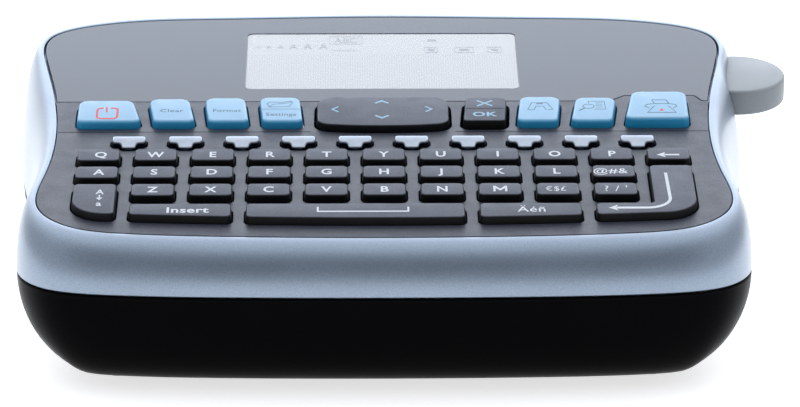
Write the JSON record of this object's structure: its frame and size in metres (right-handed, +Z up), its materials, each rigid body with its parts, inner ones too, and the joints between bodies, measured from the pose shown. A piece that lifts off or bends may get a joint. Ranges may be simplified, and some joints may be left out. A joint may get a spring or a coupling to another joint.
{
  "type": "label maker",
  "caption": "Desktop label maker: slanted keyboard deck, display panel, silver frame on a black hull, side cutting lever, rear cassette door and tape drive inside.",
  "frame": {"origin": "centre of the bounding box's base, on the surface that the feet stand on", "axes": "+X to the operator's right, +Y to the rear, +Z up"},
  "size_m": [0.1748, 0.1436, 0.0541],
  "materials": {
    "silver_housing": "satin silver paint over moulded plastic",
    "black_housing": "semi-gloss black moulded plastic",
    "deck": "fine matte texture",
    "panel": "polished dark grey",
    "window": "clear gloss lens",
    "display": "pale grey-blue liquid crystal display",
    "dark_keys": "matte key caps with white legends",
    "blue_keys": "satin translucent light blue",
    "number_keys": "bright silver plating",
    "lever": "satin light grey",
    "rubber": "matte",
    "steel": "bright pressed and turned steel",
    "white_plastic": "natural white",
    "circuit_board": "green solder mask",
    "battery_sleeve": "dark heat-shrunk sleeve",
    "label_tape": "wound paper-backed label tape"
  },
  "bodies": {
    "root": {"bottom_shell": "black_housing", "top_frame": "silver_housing", "keyboard_deck": "deck", "display_panel": "panel", "display_window": "window", "lcd_module": "display", "key_membrane": "rubber", "main_board": "circuit_board", "mechanism_chassis": "steel", "drive_motor": "steel", "print_head": "steel", "tape_cassette": "white_plastic", "guide_rod_front": "steel", "guide_rod_rear": "steel", "cutter_spring": "steel", "battery_pack": "battery_sleeve", "power_jack": "black_housing", "door_hinge_pin": "steel", "foot_front_left": "rubber", "foot_front_right": "rubber", "foot_rear_left": "rubber", "foot_rear_right": "rubber"},
    "cassette_door": {"cassette_door": "black_housing"},
    "battery_cover": {"battery_cover": "black_housing"},
    "cutter": {"cutter_paddle": "lever", "cutter_blade": "steel"},
    "platen": {"platen_roller": "rubber", "platen_gear": "white_plastic"},
    "idler_gear": {"idler_gear": "white_plastic"},
    "motor_pinion": {"motor_pinion": "white_plastic"},
    "tape_spool": {"tape_spool": "label_tape"},
    "navigation_gimbal": {"navigation_gimbal": "white_plastic"},
    "navigation_pad": {"navigation_pad": "deck"},
    "ok_cancel_rocker": {"ok_cancel_rocker": "dark_keys"},
    "letter_row_top": {"letter_row_top": "dark_keys"},
    "letter_row_middle": {"letter_row_middle": "dark_keys"},
    "letter_row_bottom": {"letter_row_bottom": "dark_keys"},
    "backspace_key": {"backspace_key": "dark_keys"},
    "caps_key": {"caps_key": "dark_keys"},
    "insert_key": {"insert_key": "dark_keys"},
    "space_bar": {"space_bar": "dark_keys"},
    "accent_key": {"accent_key": "dark_keys"},
    "enter_key": {"enter_key": "dark_keys"},
    "power_key": {"power_key": "blue_keys"},
    "clear_key": {"clear_key": "blue_keys"},
    "format_key": {"format_key": "blue_keys"},
    "settings_key": {"settings_key": "blue_keys"},
    "save_key": {"save_key": "blue_keys"},
    "preview_key": {"preview_key": "blue_keys"},
    "print_key": {"print_key": "blue_keys"},
    "number_key_1": {"number_key_1": "number_keys"},
    "number_key_2": {"number_key_2": "number_keys"},
    "number_key_3": {"number_key_3": "number_keys"},
    "number_key_4": {"number_key_4": "number_keys"},
    "number_key_5": {"number_key_5": "number_keys"},
    "number_key_6": {"number_key_6": "number_keys"},
    "number_key_7": {"number_key_7": "number_keys"},
    "number_key_8": {"number_key_8": "number_keys"},
    "number_key_9": {"number_key_9": "number_keys"},
    "number_key_0": {"number_key_0": "number_keys"}
  },
  "joints": [
    {"name": "door_hinge", "type": "hinge", "parent": "root", "child": "cassette_door", "pos_m": [0.01005, 0.06798, 0.0094], "axis": [-1, 0, 0], "range_deg": [0, 75]},
    {"name": "battery_cover_hinge", "type": "hinge", "parent": "root", "child": "battery_cover", "pos_m": [-0.00495, -0.04732, 0.002], "axis": [-1, 0, 0], "range_deg": [0, 60]},
    {"name": "cutter_press", "type": "slide", "parent": "root", "child": "cutter", "axis": [0, 0, -1], "range_m": [0, 0.0045], "stiffness_N_per_m": 300, "springref_m": -0.002, "deforming": ["cutter_spring"]},
    {"name": "platen_spin", "type": "hinge", "parent": "root", "child": "platen", "pos_m": [0.04505, 0.04668, 0.0235], "axis": [0, 1, 0], "continuous": true},
    {"name": "idler_spin", "type": "hinge", "parent": "root", "child": "idler_gear", "pos_m": [0.02405, 0.02568, 0.0235], "axis": [0, 1, 0], "continuous": true},
    {"name": "pinion_spin", "type": "hinge", "parent": "root", "child": "motor_pinion", "pos_m": [0.00705, 0.02568, 0.0235], "axis": [0, 1, 0], "continuous": true},
    {"name": "spool_spin", "type": "hinge", "parent": "root", "child": "tape_spool", "pos_m": [-0.00095, 0.04768, 0.026], "axis": [0, 1, 0], "continuous": true},
    {"name": "pad_tilt_fore_aft", "type": "hinge", "parent": "root", "child": "navigation_gimbal", "pos_m": [-0.00495, 0.00235, 0.03995], "axis": [1, 0, 0], "range_deg": [-3, 3], "stiffness_Nm_per_rad": 0.1},
    {"name": "pad_tilt_sideways", "type": "hinge", "parent": "navigation_gimbal", "child": "navigation_pad", "pos_m": [-0.00495, 0.00235, 0.03995], "axis": [0, 0.9878, 0.1556], "range_deg": [-3, 3], "stiffness_Nm_per_rad": 0.1},
    {"name": "rocker_tilt", "type": "hinge", "parent": "root", "child": "ok_cancel_rocker", "pos_m": [0.0178, 0.00233, 0.04136], "axis": [1, 0, 0], "range_deg": [-3.5, 3.5], "stiffness_Nm_per_rad": 0.05},
    {"name": "letter_row_top_press", "type": "slide", "parent": "root", "child": "letter_row_top", "axis": [0, 0.1556, -0.9878], "range_m": [0, 0.0012], "stiffness_N_per_m": 900, "springref_m": -0.0006},
    {"name": "letter_row_middle_press", "type": "slide", "parent": "root", "child": "letter_row_middle", "axis": [0, 0.1556, -0.9878], "range_m": [0, 0.0012], "stiffness_N_per_m": 900, "springref_m": -0.0006},
    {"name": "letter_row_bottom_press", "type": "slide", "parent": "root", "child": "letter_row_bottom", "axis": [0, 0.1556, -0.9878], "range_m": [0, 0.0012], "stiffness_N_per_m": 900, "springref_m": -0.0006},
    {"name": "backspace_key_press", "type": "slide", "parent": "root", "child": "backspace_key", "axis": [0, 0.1556, -0.9878], "range_m": [0, 0.0012], "stiffness_N_per_m": 500, "springref_m": -0.0006},
    {"name": "caps_key_press", "type": "slide", "parent": "root", "child": "caps_key", "axis": [0, 0.1556, -0.9878], "range_m": [0, 0.0012], "stiffness_N_per_m": 500, "springref_m": -0.0006},
    {"name": "insert_key_press", "type": "slide", "parent": "root", "child": "insert_key", "axis": [0, 0.1556, -0.9878], "range_m": [0, 0.0012], "stiffness_N_per_m": 500, "springref_m": -0.0006},
    {"name": "space_bar_press", "type": "slide", "parent": "root", "child": "space_bar", "axis": [0, 0.1556, -0.9878], "range_m": [0, 0.0012], "stiffness_N_per_m": 500, "springref_m": -0.0006},
    {"name": "accent_key_press", "type": "slide", "parent": "root", "child": "accent_key", "axis": [0, 0.1556, -0.9878], "range_m": [0, 0.0012], "stiffness_N_per_m": 500, "springref_m": -0.0006},
    {"name": "enter_key_press", "type": "slide", "parent": "root", "child": "enter_key", "axis": [0, 0.1556, -0.9878], "range_m": [0, 0.0012], "stiffness_N_per_m": 500, "springref_m": -0.0006},
    {"name": "power_key_press", "type": "slide", "parent": "root", "child": "power_key", "axis": [0, 0.1556, -0.9878], "range_m": [0, 0.0012], "stiffness_N_per_m": 500, "springref_m": -0.0006},
    {"name": "clear_key_press", "type": "slide", "parent": "root", "child": "clear_key", "axis": [0, 0.1556, -0.9878], "range_m": [0, 0.0012], "stiffness_N_per_m": 500, "springref_m": -0.0006},
    {"name": "format_key_press", "type": "slide", "parent": "root", "child": "format_key", "axis": [0, 0.1556, -0.9878], "range_m": [0, 0.0012], "stiffness_N_per_m": 500, "springref_m": -0.0006},
    {"name": "settings_key_press", "type": "slide", "parent": "root", "child": "settings_key", "axis": [0, 0.1556, -0.9878], "range_m": [0, 0.0012], "stiffness_N_per_m": 500, "springref_m": -0.0006},
    {"name": "save_key_press", "type": "slide", "parent": "root", "child": "save_key", "axis": [0, 0.1556, -0.9878], "range_m": [0, 0.0012], "stiffness_N_per_m": 500, "springref_m": -0.0006},
    {"name": "preview_key_press", "type": "slide", "parent": "root", "child": "preview_key", "axis": [0, 0.1556, -0.9878], "range_m": [0, 0.0012], "stiffness_N_per_m": 500, "springref_m": -0.0006},
    {"name": "print_key_press", "type": "slide", "parent": "root", "child": "print_key", "axis": [0, 0.1556, -0.9878], "range_m": [0, 0.0012], "stiffness_N_per_m": 500, "springref_m": -0.0006},
    {"name": "number_key_1_press", "type": "slide", "parent": "root", "child": "number_key_1", "axis": [0, 0.1556, -0.9878], "range_m": [0, 0.0012], "stiffness_N_per_m": 500, "springref_m": -0.0006},
    {"name": "number_key_2_press", "type": "slide", "parent": "root", "child": "number_key_2", "axis": [0, 0.1556, -0.9878], "range_m": [0, 0.0012], "stiffness_N_per_m": 500, "springref_m": -0.0006},
    {"name": "number_key_3_press", "type": "slide", "parent": "root", "child": "number_key_3", "axis": [0, 0.1556, -0.9878], "range_m": [0, 0.0012], "stiffness_N_per_m": 500, "springref_m": -0.0006},
    {"name": "number_key_4_press", "type": "slide", "parent": "root", "child": "number_key_4", "axis": [0, 0.1556, -0.9878], "range_m": [0, 0.0012], "stiffness_N_per_m": 500, "springref_m": -0.0006},
    {"name": "number_key_5_press", "type": "slide", "parent": "root", "child": "number_key_5", "axis": [0, 0.1556, -0.9878], "range_m": [0, 0.0012], "stiffness_N_per_m": 500, "springref_m": -0.0006},
    {"name": "number_key_6_press", "type": "slide", "parent": "root", "child": "number_key_6", "axis": [0, 0.1556, -0.9878], "range_m": [0, 0.0012], "stiffness_N_per_m": 500, "springref_m": -0.0006},
    {"name": "number_key_7_press", "type": "slide", "parent": "root", "child": "number_key_7", "axis": [0, 0.1556, -0.9878], "range_m": [0, 0.0012], "stiffness_N_per_m": 500, "springref_m": -0.0006},
    {"name": "number_key_8_press", "type": "slide", "parent": "root", "child": "number_key_8", "axis": [0, 0.1556, -0.9878], "range_m": [0, 0.0012], "stiffness_N_per_m": 500, "springref_m": -0.0006},
    {"name": "number_key_9_press", "type": "slide", "parent": "root", "child": "number_key_9", "axis": [0, 0.1556, -0.9878], "range_m": [0, 0.0012], "stiffness_N_per_m": 500, "springref_m": -0.0006},
    {"name": "number_key_0_press", "type": "slide", "parent": "root", "child": "number_key_0", "axis": [0, 0.1556, -0.9878], "range_m": [0, 0.0012], "stiffness_N_per_m": 500, "springref_m": -0.0006}
  ],
  "couplings": [
    {"joint": "idler_spin", "follows": "platen_spin", "ratio": -0.75},
    {"joint": "pinion_spin", "follows": "platen_spin", "ratio": 1.8},
    {"joint": "spool_spin", "follows": "platen_spin", "ratio": 0.36}
  ]
}
